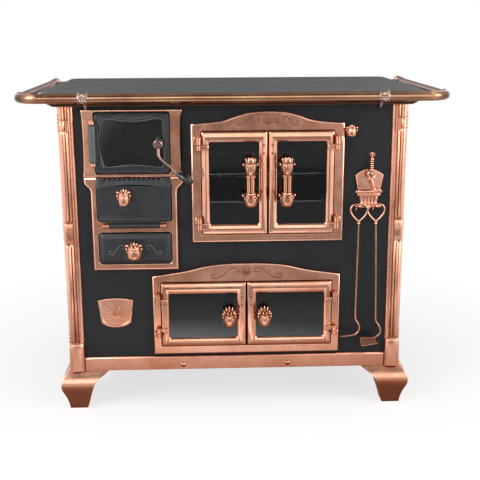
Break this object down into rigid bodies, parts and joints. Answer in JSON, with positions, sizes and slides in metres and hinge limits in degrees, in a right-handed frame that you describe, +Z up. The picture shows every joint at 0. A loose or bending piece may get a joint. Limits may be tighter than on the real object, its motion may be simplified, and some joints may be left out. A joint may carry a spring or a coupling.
{
  "type": "wood cookstove",
  "caption": "Freestanding wood-burning range cooker with firebox, ash drawer, glazed double-door oven and warming cupboard, towel rail, hung fire tools and curved feet.",
  "frame": {"origin": "middle of the whole outline seen from above, on the floor", "axes": "+X to the right as seen from the front, along the longest side; +Y to the rear; +Z up"},
  "size_m": [1.1062, 0.6542, 0.8631],
  "materials": {
    "top_plate": "ground and blackened, satin",
    "copper": "polished copper plate",
    "brass": "polished copper-toned brass",
    "panel": "charcoal enamel",
    "cast_black": "satin black",
    "door_glass": "clear",
    "grip": "gloss black",
    "steel": "bare",
    "firebrick": "rough",
    "tool_iron": "dark forged iron"
  },
  "bodies": {
    "stove": {"ash_chamber": "panel", "back_panel": "panel", "cooking_plate": "top_plate", "cornice": "copper", "cupboard_box": "panel", "cupboard_frame": "copper", "fire_frame_lower": "copper", "fire_frame_upper": "copper", "fire_grate": "steel", "firebox": "steel", "firebricks": "firebrick", "floor_pan": "panel", "flue_collar": "panel", "foot_front_left": "copper", "foot_front_right": "copper", "foot_rear_left": "copper", "foot_rear_right": "copper", "front_panel": "panel", "front_plinth": "copper", "front_rail": "copper", "name_plate": "copper", "oven_box": "steel", "oven_frame": "copper", "oven_rack_lower": "steel", "oven_rack_upper": "steel", "plinth_bolts": "brass", "post_left": "copper", "post_right": "copper", "rail_brackets": "brass", "side_panel_left": "panel", "side_panel_right": "panel", "side_rail_left": "brass", "side_rail_right": "brass", "tool_plaque": "copper"},
    "fire_door": {"fire_door": "cast_black", "fire_door_glass": "door_glass"},
    "fire_latch": {"fire_latch": "brass", "fire_latch_grip": "grip"},
    "air_flap": {"air_flap": "cast_black", "air_flap_knob": "brass"},
    "ash_drawer": {"drawer_front": "cast_black", "drawer_tray": "steel", "drawer_knob": "brass"},
    "oven_door_left": {"oven_door_left": "copper", "oven_glass_left": "door_glass", "oven_handle_left": "brass"},
    "oven_door_right": {"oven_door_right": "copper", "oven_glass_right": "door_glass", "oven_handle_right": "brass"},
    "cupboard_door_left": {"cupboard_door_left": "copper", "cupboard_glass_left": "door_glass", "cupboard_knob_left": "brass"},
    "cupboard_door_right": {"cupboard_door_right": "copper", "cupboard_glass_right": "door_glass", "cupboard_knob_right": "brass"},
    "damper": {"damper_rod": "steel", "damper_knob": "brass"},
    "poker": {"poker": "tool_iron"},
    "shovel": {"shovel": "tool_iron"},
    "lid_lifter": {"lid_lifter": "tool_iron"}
  },
  "joints": [
    {"name": "fire_door_hinge", "type": "hinge", "parent": "stove", "child": "fire_door", "pos_m": [-0.36, -0.27895, 0.731], "axis": [0, 0, -1], "range_deg": [0, 110]},
    {"name": "fire_latch_turn", "type": "hinge", "parent": "fire_door", "child": "fire_latch", "pos_m": [-0.194, -0.27295, 0.73], "axis": [0, 1, 0], "range_deg": [0, 40]},
    {"name": "air_flap_hinge", "type": "hinge", "parent": "stove", "child": "air_flap", "pos_m": [-0.261, -0.27495, 0.516], "axis": [1, 0, 0], "range_deg": [0, 50]},
    {"name": "ash_drawer_slide", "type": "slide", "parent": "stove", "child": "ash_drawer", "axis": [0, -1, 0], "range_m": [0, 0.28]},
    {"name": "oven_door_left_hinge", "type": "hinge", "parent": "stove", "child": "oven_door_left", "pos_m": [-0.092, -0.27895, 0.623], "axis": [0, 0, -1], "range_deg": [0, 95]},
    {"name": "oven_door_right_hinge", "type": "hinge", "parent": "stove", "child": "oven_door_right", "pos_m": [0.266, -0.27895, 0.623], "axis": [0, 0, 1], "range_deg": [0, 95]},
    {"name": "cupboard_door_left_hinge", "type": "hinge", "parent": "stove", "child": "cupboard_door_left", "pos_m": [-0.2055, -0.27895, 0.267], "axis": [0, 0, -1], "range_deg": [0, 95]},
    {"name": "cupboard_door_right_hinge", "type": "hinge", "parent": "stove", "child": "cupboard_door_right", "pos_m": [0.2665, -0.27895, 0.267], "axis": [0, 0, 1], "range_deg": [0, 90]},
    {"name": "damper_pull", "type": "slide", "parent": "stove", "child": "damper", "axis": [0, -1, 0], "range_m": [0, 0.06]},
    {"name": "poker_lift_off", "type": "slide", "parent": "stove", "child": "poker", "axis": [0, -0.866, 0.5], "range_m": [0, 0.04]},
    {"name": "shovel_lift_off", "type": "slide", "parent": "stove", "child": "shovel", "axis": [0, -0.866, 0.5], "range_m": [0, 0.04]},
    {"name": "lid_lifter_lift_off", "type": "slide", "parent": "stove", "child": "lid_lifter", "axis": [0, -0.866, 0.5], "range_m": [0, 0.04]}
  ]
}
